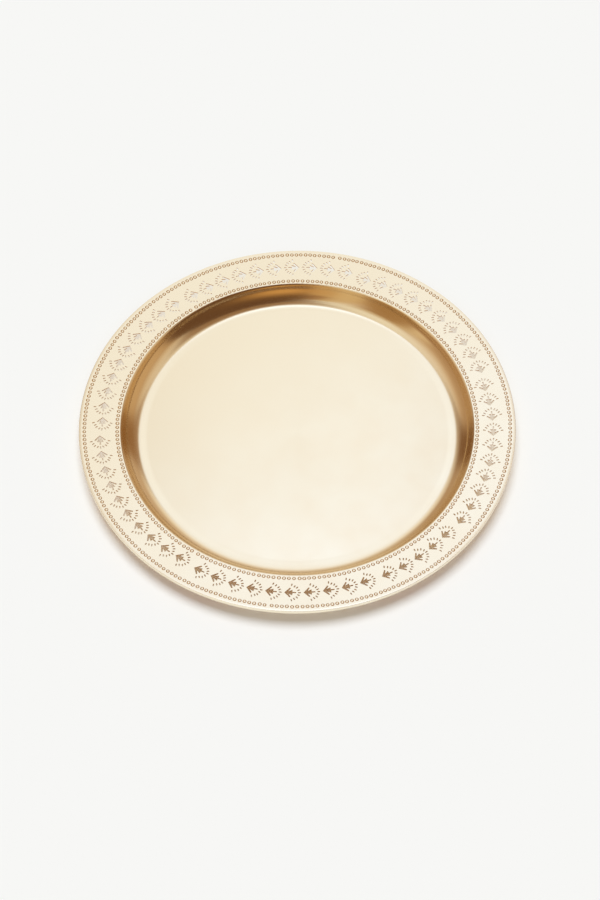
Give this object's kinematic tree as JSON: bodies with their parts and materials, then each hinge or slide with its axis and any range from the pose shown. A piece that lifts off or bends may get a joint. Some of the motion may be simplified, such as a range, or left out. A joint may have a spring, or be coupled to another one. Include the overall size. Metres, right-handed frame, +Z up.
{
  "type": "brass tray",
  "caption": "Round brass serving tray with a shallow coved well, a rolled edge and a wide rim pierced with a border of leaves, on felt pads.",
  "frame": {"origin": "under the middle of the tray, on the surface that it stands on", "axes": "+Z up, the axis that the sheet was spun on; +X to the right and +Y away from the viewer, fixed by the border, whose first leaf lies 19.4 degrees from +X"},
  "size_m": [0.33, 0.33, 0.0146],
  "materials": {
    "brass_sheet": "pale gold brass, spun and satin brushed, clear lacquered",
    "edge_wire": "bright drawn galvanised steel wire",
    "pad_felt": "dark brown pressed wool felt"
  },
  "bodies": {
    "root": {"tray_pan": "brass_sheet", "edge_wire": "edge_wire", "felt_pad_1": "pad_felt", "felt_pad_2": "pad_felt", "felt_pad_3": "pad_felt", "felt_pad_4": "pad_felt"}
  },
  "joints": []
}
